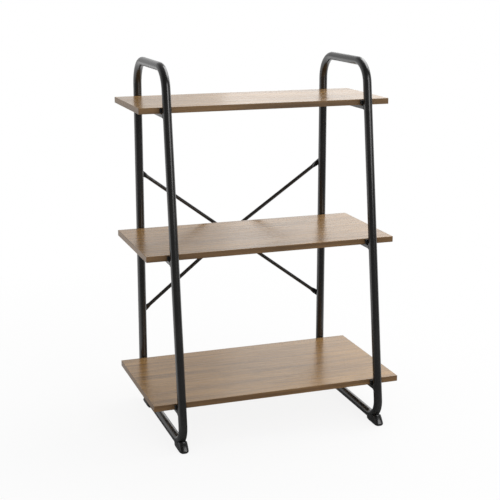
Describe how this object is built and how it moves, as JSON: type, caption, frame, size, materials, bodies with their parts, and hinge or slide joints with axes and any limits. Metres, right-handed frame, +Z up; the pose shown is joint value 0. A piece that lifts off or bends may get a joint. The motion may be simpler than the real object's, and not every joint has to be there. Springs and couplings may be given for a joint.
{
  "type": "open bookcase",
  "caption": "Open bookcase: wood-effect shelves on crossbars between two bent-tube side frames that lean back from the floor, with crossed brace rods behind.",
  "frame": {"origin": "on the floor, under the middle of the whole box", "axes": "+Z up, +X to the right seen from the front, the front faces -Y"},
  "size_m": [0.66, 0.4581, 0.945],
  "materials": {
    "black_steel": "satin gloss",
    "wood_laminate": "semi-gloss",
    "black_plastic": "gloss",
    "zinc_steel": "zinc plated"
  },
  "bodies": {
    "root": {"bottom_left_crossbar": "black_steel", "bottom_left_front_stop": "black_steel", "bottom_left_rear_stop": "black_steel", "bottom_right_crossbar": "black_steel", "bottom_right_front_stop": "black_steel", "bottom_right_rear_stop": "black_steel", "bottom_shelf": "wood_laminate", "brace_rod_falling": "black_steel", "brace_rod_rising": "black_steel", "brace_screws": "zinc_steel", "left_front_foot": "black_plastic", "left_rear_foot": "black_plastic", "left_side_frame": "black_steel", "middle_left_crossbar": "black_steel", "middle_left_front_stop": "black_steel", "middle_left_rear_stop": "black_steel", "middle_right_crossbar": "black_steel", "middle_right_front_stop": "black_steel", "middle_right_rear_stop": "black_steel", "middle_shelf": "wood_laminate", "right_front_foot": "black_plastic", "right_rear_foot": "black_plastic", "right_side_frame": "black_steel", "top_left_crossbar": "black_steel", "top_left_front_stop": "black_steel", "top_left_rear_stop": "black_steel", "top_right_crossbar": "black_steel", "top_right_front_stop": "black_steel", "top_right_rear_stop": "black_steel", "top_shelf": "wood_laminate"}
  },
  "joints": []
}
